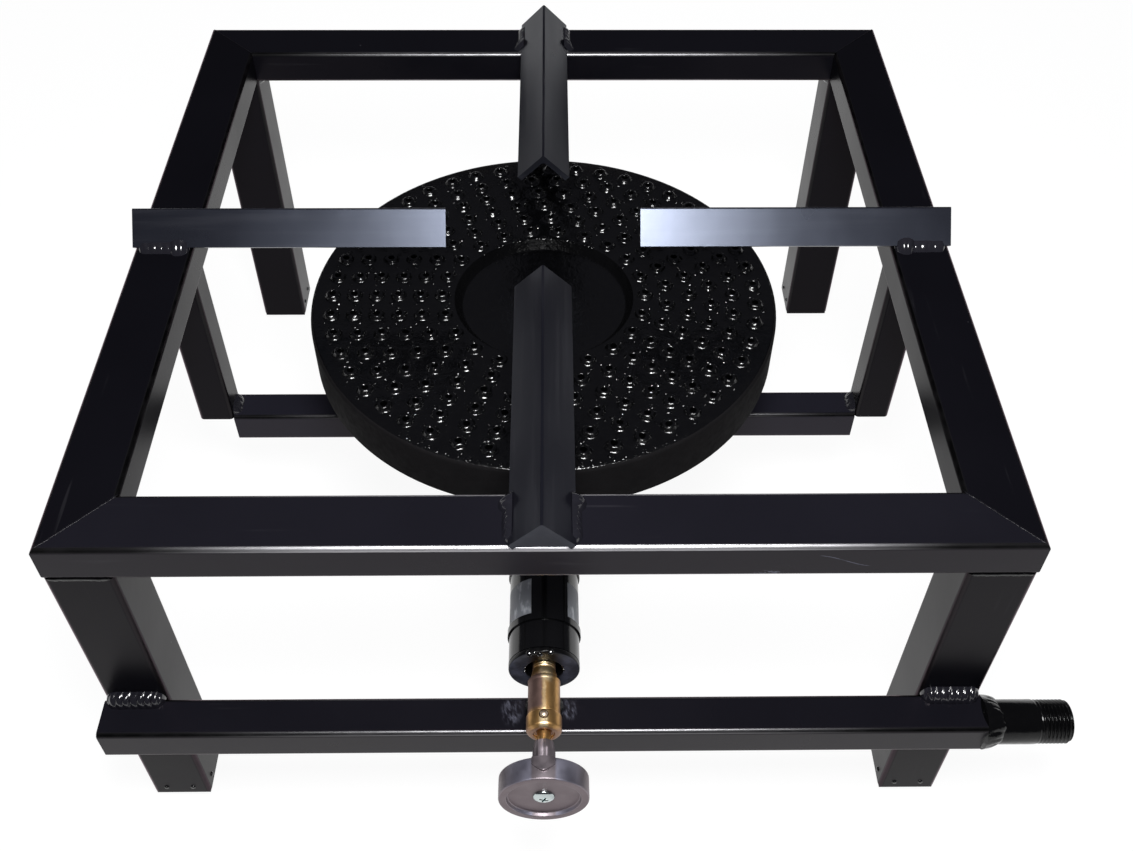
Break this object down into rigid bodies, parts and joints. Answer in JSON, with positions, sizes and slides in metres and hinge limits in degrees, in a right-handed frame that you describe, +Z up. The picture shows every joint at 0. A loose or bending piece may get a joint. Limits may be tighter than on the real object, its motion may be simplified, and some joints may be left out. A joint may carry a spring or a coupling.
{
  "type": "gas burner stove",
  "caption": "Low square tube stand with angle pot supports over a round perforated cast burner, fed through a mixer tube by a brass needle valve on a front gas manifold.",
  "frame": {"origin": "on the floor at the middle of the stand's four outer faces", "axes": "+X to the right of someone at the knob, towards the gas inlet; +Y to the back; +Z up"},
  "size_m": [0.462, 0.4716, 0.2358],
  "materials": {
    "frame_paint": "semi-gloss black paint on steel",
    "burner_black": "gloss black paint on cast iron",
    "zinc_steel": "zinc plated",
    "pipe_black": "gloss black paint on steel pipe",
    "brass": "turned brass",
    "packing": "graphited packing cord",
    "knob_aluminium": "cast aluminium"
  },
  "bodies": {
    "stand": {"front_rail": "frame_paint", "back_rail": "frame_paint", "left_rail": "frame_paint", "right_rail": "frame_paint", "front_left_leg": "frame_paint", "front_right_leg": "frame_paint", "rear_left_leg": "frame_paint", "rear_right_leg": "frame_paint", "front_left_foot": "frame_paint", "front_right_foot": "frame_paint", "rear_left_foot": "frame_paint", "rear_right_foot": "frame_paint", "leg_welds": "frame_paint", "front_pot_support": "frame_paint", "back_pot_support": "frame_paint", "left_pot_support": "frame_paint", "right_pot_support": "frame_paint", "support_welds": "frame_paint", "left_hanger": "frame_paint", "right_hanger": "frame_paint", "burner_crossbar": "frame_paint", "cradle_welds": "frame_paint", "gas_manifold": "frame_paint", "manifold_end_plate": "frame_paint", "manifold_inlet_plate": "frame_paint", "gas_inlet_nipple": "pipe_black", "manifold_welds": "frame_paint", "valve_boss": "frame_paint", "burner_head": "burner_black", "burner_bowl": "burner_black", "burner_tie_bolt": "burner_black", "burner_tie_washer": "burner_black", "burner_tie_nut": "burner_black", "mixer_tube": "pipe_black", "mixer_mouth_plate": "pipe_black", "valve_body": "brass", "injector_jet": "brass", "gland_nut": "brass", "gland_packing": "packing", "gland_lock_screw": "brass"},
    "needle": {"valve_needle": "zinc_steel"},
    "handwheel": {"valve_spindle": "brass", "control_knob": "knob_aluminium", "knob_screw": "zinc_steel"},
    "shutter_sleeve": {"air_shutter": "pipe_black"}
  },
  "joints": [
    {"name": "needle_lift", "type": "slide", "parent": "stand", "child": "needle", "axis": [0, -1, 0], "range_m": [0, 0.0019]},
    {"name": "knob_turn", "type": "hinge", "parent": "needle", "child": "handwheel", "pos_m": [0, -0.215, 0.12], "axis": [0, -1, 0], "range_deg": [0, 540]},
    {"name": "shutter_turn", "type": "hinge", "parent": "stand", "child": "shutter_sleeve", "pos_m": [0, -0.166, 0.12], "axis": [0, 1, 0], "range_deg": [0, 60]}
  ],
  "couplings": [
    {"joint": "needle_lift", "follows": "knob_turn", "m_per_rad": 0.00019894}
  ]
}
